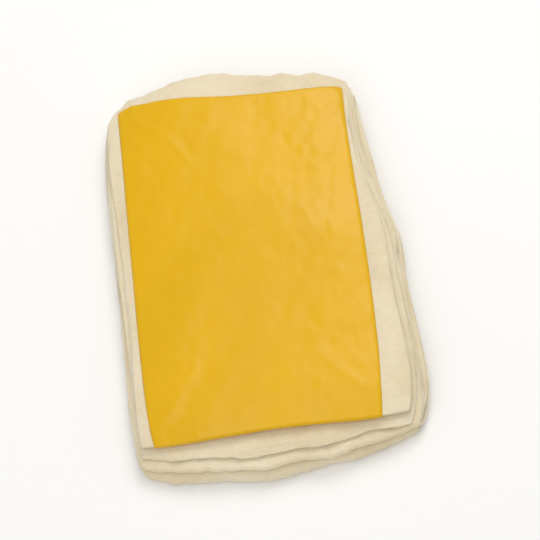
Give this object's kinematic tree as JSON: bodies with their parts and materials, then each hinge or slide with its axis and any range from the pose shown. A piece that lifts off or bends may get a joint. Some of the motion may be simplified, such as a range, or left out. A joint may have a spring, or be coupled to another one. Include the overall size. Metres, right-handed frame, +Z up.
{
  "type": "folded ambulance blanket",
  "caption": "Soft cream emergency blanket book-folded into a flat, crowned pack, with a yellow film face lying on its top leaf.",
  "frame": {"origin": "middle of the pack's outline, on the surface that it lies on", "axes": "+X across the pack, +Y along its length towards the closed far roll, +Z up through its layers"},
  "size_m": [0.1824, 0.2724, 0.0264],
  "materials": {
    "wadding": "soft matt nonwoven wadding, cream",
    "film": "thin satin plastic film, yellow"
  },
  "bodies": {
    "root": {"wadding": "wadding", "film_face": "film"}
  },
  "joints": []
}
